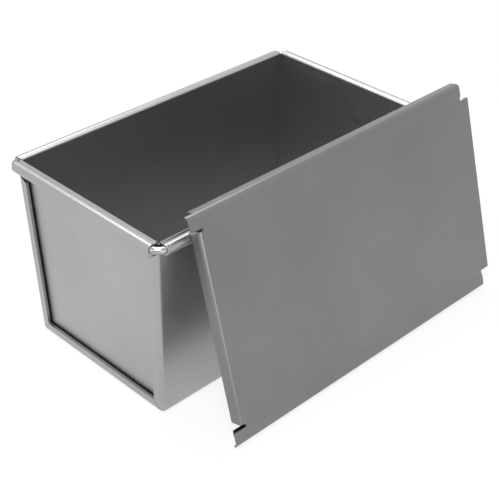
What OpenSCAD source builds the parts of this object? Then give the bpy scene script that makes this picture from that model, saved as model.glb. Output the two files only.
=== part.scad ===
/* [Pan] */
// Length over the walls at the rim
body_len = 202; // [180:1:240]
// Width over the walls at the rim
body_wid = 112; // [100:1:140]
// Height from the table to the top of the rim
body_h = 110; // [90:1:130]
// How far each wall leans out from base to rim
draft = 3.6; // [2:0.1:5]
// Thickness of the sheet
sheet_t = 0.8; // [0.6:0.1:1]
// Outer radius of the upright corners and base edges
bend_r = 3; // [2.5:0.1:4]
/* [End seams] */
// Width of the strips that frame each end panel
strip_w = 6.5; // [6:0.1:8]
// Depth of the end panel behind the strips
recess = 2.6; // [2.4:0.1:3.2]
// Width of the hem folded behind each strip
hem_w = 3; // [2:0.1:3.5]
/* [Rim] */
// Diameter of the stiffening wire in the rim
wire_d = 4; // [3.5:0.1:4.5]
// Radius of the wire's elbows along its centre line
elbow_r = 5; // [4.5:0.1:6]
// Length of bare wire left beside each corner
bare_wire = 4.2; // [4:0.1:5]
/* [Lid] */
// Length of the lid's rails
rail_len = 206; // [180:1:240]
// Clearance between the rim and the rails
lid_gap = 0.5; // [0.4:0.1:1]
// Depth of the turned-down end flange
flange_h = 7; // [6:0.1:8]
// How far the rails run past the turned-down end
rail_overrun = 5.3; // [4:0.1:7]
// How far the other end's tab runs past the rails
tab_len = 6.8; // [5:0.1:9]
// Angle at which the lid leans on the pan
lean = 15.5; // [14:0.5:20]
// Place of the lid's middle along the pan
lid_x = 14.7; // [0:0.1:20]
/* [Hidden] */
$fn = 48;
base_len = body_len - 2 * draft;
base_wid = body_wid - 2 * draft;
draft_a = atan(draft / body_h);
slope_h = body_h / cos(draft_a);
// Room left between pieces that lie against each other
seat = 0.05;
// Rolled edge
bore_r = wire_d / 2 + 0.15;
roll_r = bore_r + sheet_t;
neck = 0.2;
roll_n = roll_r + neck;
lip_r = 1.2;
seam_from = 130;
seam_to = 210;
wall_top = body_h - lip_r;
// Strips end below the rolled edge, cut on a slant
strip_top = slope_h - 2 * roll_r - 0.7;
strip_slant = 4.4;
mitre_w = 0.3;
mitre_d = 0.35;
// Wire ring
wire_x = body_len / 2 - recess + roll_n;
wire_y = body_wid / 2 + roll_n;
wire_z = body_h - roll_r - 0.05;
// Lid
lid_w = 2 * (body_wid / 2 + roll_n + roll_r + lid_gap + sheet_t);
rail_d = 2 * roll_r + 0.8 + 2 * sheet_t;
rail_r = 2.5;
rail_lip = 5;
crown_w = 7;
step_d = 0.6;
step_w = 1.2;
notch_w = 2;
side_w = crown_w + step_w;
flange_end = side_w + notch_w;
flange_r = 1.6;
flange_hem = 2.4;
tab_hem = 2.6;
lid_clear = 0.3;
bend_x = -rail_len / 2 + rail_overrun;
tab_x = rail_len / 2 + tab_len;
lid_z = (lid_w / 2 - rail_r) * cos(lean) + (rail_d - rail_r) * sin(lean) + rail_r;
lid_off = roll_r + lid_clear + flange_h + step_d;
lid_y = -wire_y - (lid_off - sin(lean) * (lid_z - wire_z)) / cos(lean);

// Space inside the pan's skin, drawn in by inset, with rounded corners and base edges
module tub(inset) {
    r = bend_r - inset;
    half_l = base_len / 2 + draft * bend_r / body_h - bend_r;
    half_w = base_wid / 2 + draft * bend_r / body_h - bend_r;
    grow = draft * (1 - bend_r / body_h);
    hull() for (sx = [-1, 1], sy = [-1, 1]) {
        for (a = [18:18:90])
            translate([sx * half_l, sy * half_w, inset + r * (1 - sin(a))])
                cylinder(r = r * sin(90 - a) + 0.01, h = 0.01, $fn = 24);
        translate([sx * half_l, sy * half_w, bend_r]) cylinder(r = r, h = 0.01, $fn = 24);
        translate([sx * (half_l + grow), sy * (half_w + grow), body_h])
            cylinder(r = r, h = 0.01, $fn = 24);
    }
}
// Lays children drawn as across, up and outward onto one leaning wall
module on_wall(turn, half_base) {
    rotate([0, 0, turn]) translate([0, -half_base, 0]) rotate([90 + draft_a, 0, 0]) children();
}
// Section of the rolled edge: x points outward from the wall, y up
module rim_section() {
    translate([-sheet_t + 0.02, slope_h - lip_r - 1]) square([sheet_t - 0.04, 1.02]);
    translate([lip_r - sheet_t, slope_h - lip_r]) intersection() {
        difference() {
            circle(r = lip_r);
            circle(r = lip_r - sheet_t);
        }
        translate([-lip_r, 0]) square([lip_r + 0.01, lip_r]);
    }
    translate([roll_n, slope_h - roll_r]) {
        difference() {
            circle(r = roll_r);
            circle(r = bore_r);
            polygon([[0, 0], for (a = [seam_from, 170, seam_to]) 3 * roll_r * [cos(a), sin(a)]]);
        }
        polygon([
            [lip_r - sheet_t - roll_n, roll_r],
            roll_r * [cos(seam_from - 1), sin(seam_from - 1)],
            bore_r * [cos(seam_from - 4), sin(seam_from - 4)],
            [lip_r - sheet_t - roll_n, roll_r - sheet_t]
        ]);
    }
}
module rolled_edge(len) {
    rotate([90, 0, 90]) translate([0, 0, -len / 2]) linear_extrude(len) mirror([1, 0]) children();
}
module wall_rim(turn, half_base, len, back) {
    on_wall(turn, half_base) translate([0, 0, -back]) rotate([-90, 0, 0])
        rolled_edge(len) rim_section();
}
// Outline of the opening in an end frame whose strips are w wide
module end_window(w) {
    half = base_wid / 2 - w;
    top = strip_top - strip_slant;
    out = body_wid / 2 + 6;
    polygon([
        [-half, w], [half, w], [half + draft * top / slope_h, top],
        [out - 6, strip_top], [out, strip_top], [out, slope_h + 9], [-out, slope_h + 9],
        [-out, strip_top], [6 - out, strip_top], [-half - draft * top / slope_h, top]
    ]);
}
// One sheet: both long walls, the base and the strips that clasp the end panels
module body_wrap() color("silver") {
    difference() {
        tub(0);
        tub(sheet_t);
        translate([-body_len, -body_wid, wall_top]) cube([2 * body_len, 2 * body_wid, 9]);
        for (turn = [-90, 90]) on_wall(turn, base_len / 2) {
            translate([0, 0, -recess]) linear_extrude(recess + 5) end_window(strip_w);
            for (s = [-1, 1]) translate([s * base_wid / 2, 0, -mitre_d]) rotate([0, 0, s * 45])
                translate([-mitre_w / 2, 0.5, 0]) cube([mitre_w, strip_w * sqrt(2), 5]);
        }
        base_flat(1, -0.1);
    }
    base_flat(sheet_t, 0);
    for (turn = [-90, 90]) on_wall(turn, base_len / 2) translate([0, 0, -2 * sheet_t])
        linear_extrude(sheet_t + 0.02) difference() {
            frame_band(strip_w - hem_w);
            end_window(strip_w);
        }
    for (turn = [0, 180]) wall_rim(turn, base_wid / 2, 2 * (wire_x - bare_wire), 0);
}
// Outer outline of the hem behind the strips
module frame_band(w) {
    half = base_wid / 2 - w;
    polygon([
        [-half, w], [half, w],
        [half + draft * strip_top / slope_h, strip_top], [-half - draft * strip_top / slope_h, strip_top]
    ]);
}
module base_flat(h, z) {
    size = [base_len - 2 * bend_r, base_wid - 2 * bend_r];
    translate([-size[0] / 2, -size[1] / 2, z]) cube([size[0], size[1], h]);
}
// Recessed end sheet with flanges held in the seams and its own rolled edge
module end_panel(turn) {
    intersection() {
        tub(sheet_t + seat);
        on_wall(turn, base_len / 2) translate([-body_wid, -9, -recess - sheet_t])
            cube([2 * body_wid, slope_h + 9 - lip_r, sheet_t]);
    }
    intersection() {
        difference() {
            tub(sheet_t + seat);
            on_wall(turn, base_len / 2) translate([0, 0, -recess - 1])
                linear_extrude(recess + 2) end_window(2 * sheet_t + seat);
        }
        on_wall(turn, base_len / 2) translate([-body_wid, -9, -recess - 0.1])
            cube([2 * body_wid, strip_top + 9 - strip_slant, recess + 0.1 - sheet_t - seat]);
    }
    wall_rim(turn, base_len / 2, 2 * (wire_y - bare_wire), recess);
}
module front_end_panel() color("silver") end_panel(-90);
module rear_end_panel() color("silver") end_panel(90);
// Steel wire bent to a ring, bare only at its four elbows
module rim_wire() color("gainsboro") translate([0, 0, wire_z]) {
    straight_x = wire_x - elbow_r;
    straight_y = wire_y - elbow_r;
    for (s = [-1, 1]) {
        translate([-straight_x, s * wire_y, 0]) rotate([0, 90, 0])
            cylinder(d = wire_d, h = 2 * straight_x);
        translate([s * wire_x, straight_y, 0]) rotate([90, 0, 0])
            cylinder(d = wire_d, h = 2 * straight_y);
    }
    for (q = [0:3]) {
        sx = (q == 0 || q == 3) ? 1 : -1;
        sy = q < 2 ? 1 : -1;
        translate([sx * straight_x, sy * straight_y, 0]) rotate([0, 0, 90 * q])
            rotate_extrude(angle = 90) translate([elbow_r, 0]) circle(d = wire_d);
    }
}
// Half of the lid's section: x across to the rail, y up from the crown's underside
module rail_half() {
    w = rail_r * 2 + 3;
    translate([lid_w / 2 - w, -rail_d]) difference() {
        round_rect(w, rail_d, rail_r);
        translate([sheet_t, sheet_t]) round_rect(w - 2 * sheet_t, rail_d - 2 * sheet_t, rail_r - sheet_t);
        translate([-1, -1]) square([w - rail_lip + 1, rail_d + 1 - sheet_t]);
        translate([-1, 0]) square([rail_r + 1, rail_d + 1]);
    }
    polygon([
        [lid_w / 2 - rail_r - 2, 0], [lid_w / 2 - rail_r - 2, -sheet_t], [lid_w / 2 - crown_w, -sheet_t],
        [lid_w / 2 - side_w, -sheet_t - step_d], [lid_w / 2 - side_w, -step_d], [lid_w / 2 - crown_w, 0]
    ]);
}
module round_rect(w, h, r) {
    translate([r, 0]) square([w - 2 * r, h]);
    translate([0, r]) square([w, h - 2 * r]);
    for (x = [r, w - r], y = [r, h - r]) translate([x, y]) circle(r = r);
}
// Lid as it lies on the pan: x along the rails, z up, crown at z = 0
module lid_flat() {
    panel_w = lid_w - 2 * side_w + 0.02;
    panel_z = -step_d - sheet_t;
    half_f = lid_w / 2 - flange_end;
    difference() {
        rotate([90, 0, 90]) translate([0, 0, -rail_len / 2]) linear_extrude(rail_len) {
            rail_half();
            mirror([1, 0]) rail_half();
        }
        // The curl stops at the turned-down end, and only its crown runs on
        translate([-rail_len / 2 - 1, -lid_w, -rail_d - 1])
            cube([rail_overrun + 1, 2 * lid_w, rail_d + 1 - rail_r]);
    }
    difference() {
        translate([bend_x + flange_r, -panel_w / 2, panel_z])
            cube([tab_x - bend_x - flange_r, panel_w, sheet_t]);
        for (s = [-1, 1]) {
            translate([rail_len / 2, s * (lid_w / 2 - side_w) - notch_w, panel_z - 1])
                cube([tab_len + 1, 2 * notch_w, 3]);
            translate([bend_x + flange_r, s * (lid_w / 2 - side_w), panel_z - 1])
                cylinder(r = notch_w, h = 3);
        }
    }
    // Turned-down flange with its edge hemmed back inside
    translate([bend_x + flange_r, half_f, -step_d - flange_r]) rotate([90, 0, 0])
        linear_extrude(2 * half_f) intersection() {
            difference() {
                circle(r = flange_r);
                circle(r = flange_r - sheet_t);
            }
            translate([-flange_r, 0]) square([flange_r + 0.01, flange_r]);
        }
    translate([bend_x, -half_f, -step_d - flange_h]) {
        cube([sheet_t, 2 * half_f, flange_h - flange_r + 0.01]);
        translate([sheet_t - 0.01, 0, 0]) cube([sheet_t, 2 * half_f, flange_hem]);
    }
    // Hem under the tab's edge
    translate([tab_x - tab_hem, -half_f, panel_z - sheet_t]) cube([tab_hem, 2 * half_f, sheet_t + 0.01]);
}
// The lid stands on one rail and leans with its end flange against the rolled edge
module sliding_lid() color("silver")
    translate([lid_x, lid_y, lid_z]) rotate([90 - lean, 0, 0]) lid_flat();

body_wrap();
front_end_panel();
rear_end_panel();
rim_wire();
sliding_lid();
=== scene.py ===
from math import radians

import bpy
from mathutils import Matrix, Vector

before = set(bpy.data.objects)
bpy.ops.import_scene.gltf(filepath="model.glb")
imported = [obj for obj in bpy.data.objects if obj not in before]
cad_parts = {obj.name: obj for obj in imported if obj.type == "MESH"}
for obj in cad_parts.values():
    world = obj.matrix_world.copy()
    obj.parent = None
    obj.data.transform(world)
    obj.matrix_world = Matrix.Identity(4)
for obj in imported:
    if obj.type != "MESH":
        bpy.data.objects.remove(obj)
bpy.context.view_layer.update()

MM = 0.001

# Camera, fitted to the photograph: place in metres, angles in degrees, and the focal
# length in pixels of a frame IMAGE_PX wide
CAM_PLACE = Vector((-0.40836, -0.43274, 0.42804))
CAM_AZIMUTH = -44.545
CAM_ELEVATION = 33.514
CAM_ROLL = 0.357
IMAGE_PX = 500
FOCAL_PX = 1227.4
SENSOR_MM = 36.0
CLIP_START = 0.01

# Tones of the satin sheet, the wire and the floor; the lid is the same sheet as the pan, given a
# darker tone as painted shade
PAN_TONE = (0.39, 0.39, 0.39, 1)
LID_PAINTED_SHADE_TONE = (0.215, 0.215, 0.215, 1)
WIRE_TONE = (0.36, 0.36, 0.36, 1)
FLOOR_TONE = (0.93, 0.93, 0.93, 1)
WHITE = (1, 1, 1, 1)

# Noises as scale and octaves, from fine to coarse
WIRE_GRAIN = (1400.0, 3.0)
SHEET_GRAIN = (900.0, 3.0)
SHEET_MARKS = (160.0, 5.0)
SHEET_CLOUDS = (14.0, 2.0)
NOISE_ROUGHNESS = 0.6

# Share of the clouds in the sheet's tone, the rest being grain
CLOUD_SHARE = 0.55

# How far noise moves a tone up and down, as a share of it, and the noise values at
# which it is darkest and lightest
SHEET_SPREAD = 0.1
WIRE_SPREAD = 0.08
RAMP_ENDS = (0.3, 0.7)

# Bumps as strength and height in metres
SHEET_BUMP = (0.12, 0.0002)
WIRE_BUMP = (0.15, 0.0001)

# Roughness of the sheets, how far marks move it either way, and the wire's lowest and highest
PAN_ROUGHNESS = 0.34
LID_ROUGHNESS = 0.36
ROUGHNESS_SPREAD = 0.06
WIRE_ROUGHNESS = (0.18, 0.3)

# Strength of the world and floor where they are seen as white, strength of the world as
# fill light, and the share of white in the floor as it is seen
WHITE_STRENGTH = 1.0
FILL_STRENGTH = 0.4
FLOOR_WHITE = 0.8

# Side of the floor and how far it lies below the pan, in metres
FLOOR_SIZE = 6.0
FLOOR_DROP = 0.05 * MM

# Lamps as name, place, width and height in metres, and watts, all aimed at one point
LAMPS = (
    ("key", (-0.5, -0.3, 1.0), (0.5, 0.5), 9.0),
    ("end_fill", (-1.1, 0.2, 0.3), (0.5, 0.4), 1.5),
    ("side_fill", (-0.3, -0.8, 0.1), (0.5, 0.15), 1.2),
    ("top", (0.2, 0.5, 1.2), (0.8, 0.4), 9.0),
)
LAMP_AIM = Vector((0, 0, 0.05))


class Nodes:
    """A short way to add and link shader nodes in one material or world."""

    def __init__(self, owner):
        owner.use_nodes = True
        self.tree = owner.node_tree
        self.tree.nodes.clear()

    def add(self, kind, **inputs):
        node = self.tree.nodes.new(kind)
        for name, value in inputs.items():
            node.inputs[name.replace("_", " ")].default_value = value
        return node

    def link(self, source, target):
        self.tree.links.new(source, target)


def band(nodes, source, low, high):
    """Map a 0 to 1 noise value to the range from low to high."""
    remap = nodes.add("ShaderNodeMapRange", To_Min=low, To_Max=high)
    nodes.link(source, remap.inputs["Value"])
    return remap.outputs["Result"]


def grey_ramp(nodes, source, tone, spread):
    """Vary a grey tone up and down by spread."""
    ramp = nodes.add("ShaderNodeValToRGB")
    ends = zip(ramp.color_ramp.elements, RAMP_ENDS, (1 - spread, 1 + spread))
    for element, position, factor in ends:
        element.position = position
        element.color = (tone[0] * factor, tone[1] * factor, tone[2] * factor, 1)
    nodes.link(source, ramp.inputs["Fac"])
    return ramp.outputs["Color"]


def noise(nodes, coords, scale, octaves):
    """Noise of about 0 to 1 that stays fixed to the piece."""
    texture = nodes.add("ShaderNodeTexNoise", Scale=scale, Detail=octaves, Roughness=NOISE_ROUGHNESS)
    nodes.link(coords, texture.inputs["Vector"])
    return texture.outputs["Fac"]


def raised(nodes, source, strength, height):
    """Bump a surface by a noise."""
    bump = nodes.add("ShaderNodeBump", Strength=strength, Distance=height)
    nodes.link(source, bump.inputs["Height"])
    return bump.outputs["Normal"]


def metal(nodes, colour, roughness, normal):
    """Finish a material as bare metal."""
    surface = nodes.add("ShaderNodeBsdfPrincipled", Metallic=1.0)
    nodes.link(colour, surface.inputs["Base Color"])
    nodes.link(roughness, surface.inputs["Roughness"])
    nodes.link(normal, surface.inputs["Normal"])
    output = nodes.add("ShaderNodeOutputMaterial")
    nodes.link(surface.outputs["BSDF"], output.inputs["Surface"])


def satin_sheet(name, tone, roughness):
    """Satin sheet with a fine grain, slow clouding and faint handling marks."""
    material = bpy.data.materials.new(name)
    nodes = Nodes(material)
    coords = nodes.add("ShaderNodeTexCoord").outputs["Object"]
    grain = noise(nodes, coords, *SHEET_GRAIN)
    clouds = noise(nodes, coords, *SHEET_CLOUDS)
    marks = noise(nodes, coords, *SHEET_MARKS)
    blend = nodes.add("ShaderNodeMix", Factor=CLOUD_SHARE)
    nodes.link(grain, blend.inputs["A"])
    nodes.link(clouds, blend.inputs["B"])
    colour = grey_ramp(nodes, blend.outputs["Result"], tone, SHEET_SPREAD)
    marked = band(nodes, marks, roughness - ROUGHNESS_SPREAD, roughness + ROUGHNESS_SPREAD)
    metal(nodes, colour, marked, raised(nodes, grain, *SHEET_BUMP))
    return material


def bright_wire(name, tone):
    """Bright wire with a fine, even grain."""
    material = bpy.data.materials.new(name)
    nodes = Nodes(material)
    coords = nodes.add("ShaderNodeTexCoord").outputs["Object"]
    grain = noise(nodes, coords, *WIRE_GRAIN)
    colour = grey_ramp(nodes, grain, tone, WIRE_SPREAD)
    roughness = band(nodes, grain, *WIRE_ROUGHNESS)
    metal(nodes, colour, roughness, raised(nodes, grain, *WIRE_BUMP))
    return material


def dress_nodes():
    """Give each CAD node its finish."""
    pan = satin_sheet("pan_satin", PAN_TONE, PAN_ROUGHNESS)
    # The lid gets the pan's satin sheet with a darker tone, which is painted shade rather than a
    # different finish
    lid = satin_sheet("lid_satin_painted_shade", LID_PAINTED_SHADE_TONE, LID_ROUGHNESS)
    wire = bright_wire("rim_wire_bright", WIRE_TONE)
    finish = {
        "body_wrap": pan,
        "front_end_panel": pan,
        "rear_end_panel": pan,
        "rim_wire": wire,
        "sliding_lid": lid,
    }
    for node, material in finish.items():
        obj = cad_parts[node]
        obj.data.materials.clear()
        obj.data.materials.append(material)


def seen_directly(nodes):
    """1 for camera, mirror and glass rays, 0 for the light that falls on things."""
    path = nodes.add("ShaderNodeLightPath")
    first = nodes.add("ShaderNodeMath")
    first.operation = "MAXIMUM"
    nodes.link(path.outputs["Is Camera Ray"], first.inputs[0])
    nodes.link(path.outputs["Is Glossy Ray"], first.inputs[1])
    both = nodes.add("ShaderNodeMath")
    both.operation = "MAXIMUM"
    nodes.link(first.outputs[0], both.inputs[0])
    nodes.link(path.outputs["Is Transmission Ray"], both.inputs[1])
    return both.outputs[0]


def make_world():
    """White where it is seen or mirrored, and dimmer as fill light."""
    world = bpy.data.worlds.new("studio")
    nodes = Nodes(world)
    shine = nodes.add("ShaderNodeBackground", Color=WHITE, Strength=WHITE_STRENGTH)
    fill = nodes.add("ShaderNodeBackground", Color=WHITE, Strength=FILL_STRENGTH)
    mix = nodes.add("ShaderNodeMixShader")
    nodes.link(seen_directly(nodes), mix.inputs[0])
    nodes.link(fill.outputs[0], mix.inputs[1])
    nodes.link(shine.outputs[0], mix.inputs[2])
    output = nodes.add("ShaderNodeOutputWorld")
    nodes.link(mix.outputs[0], output.inputs["Surface"])
    bpy.context.scene.world = world


def make_floor():
    """Matte floor that keeps the pan's shadow, with white mixed in where it is seen."""
    bpy.ops.mesh.primitive_plane_add(size=FLOOR_SIZE, location=(0, 0, -FLOOR_DROP))
    floor = bpy.context.object
    floor.name = "floor"
    material = bpy.data.materials.new("pale_floor")
    nodes = Nodes(material)
    matte = nodes.add("ShaderNodeBsdfDiffuse", Color=FLOOR_TONE)
    glow = nodes.add("ShaderNodeEmission", Color=WHITE, Strength=WHITE_STRENGTH)
    share = nodes.add("ShaderNodeMath")
    share.operation = "MULTIPLY"
    share.inputs[1].default_value = FLOOR_WHITE
    nodes.link(seen_directly(nodes), share.inputs[0])
    mix = nodes.add("ShaderNodeMixShader")
    nodes.link(share.outputs[0], mix.inputs[0])
    nodes.link(matte.outputs[0], mix.inputs[1])
    nodes.link(glow.outputs[0], mix.inputs[2])
    output = nodes.add("ShaderNodeOutputMaterial")
    nodes.link(mix.outputs[0], output.inputs["Surface"])
    floor.data.materials.append(material)


def soft_box(name, place, size, watts):
    """A rectangular lamp aimed at the pan."""
    lamp = bpy.data.lights.new(name, "AREA")
    lamp.shape = "RECTANGLE"
    lamp.size = size[0]
    lamp.size_y = size[1]
    lamp.energy = watts
    obj = bpy.data.objects.new(name, lamp)
    obj.location = place
    aim = LAMP_AIM - Vector(place)
    obj.rotation_euler = aim.to_track_quat("-Z", "Y").to_euler()
    bpy.context.scene.collection.objects.link(obj)


def make_lights():
    for lamp in LAMPS:
        soft_box(*lamp)


def make_camera():
    """Stand the camera where the photograph was taken from."""
    data = bpy.data.cameras.new("photo_camera")
    data.sensor_fit = "HORIZONTAL"
    data.sensor_width = SENSOR_MM
    data.lens = FOCAL_PX / IMAGE_PX * SENSOR_MM
    data.clip_start = CLIP_START
    camera = bpy.data.objects.new("photo_camera", data)
    turn = Matrix.Rotation(radians(CAM_AZIMUTH), 4, "Z")
    tilt = Matrix.Rotation(radians(90 - CAM_ELEVATION), 4, "X")
    roll = Matrix.Rotation(radians(CAM_ROLL), 4, "Z")
    camera.matrix_world = Matrix.Translation(CAM_PLACE) @ turn @ tilt @ roll
    bpy.context.scene.collection.objects.link(camera)
    bpy.context.scene.camera = camera


make_camera()
dress_nodes()
make_world()
make_floor()
make_lights()
bpy.context.scene.view_settings.view_transform = "Standard"
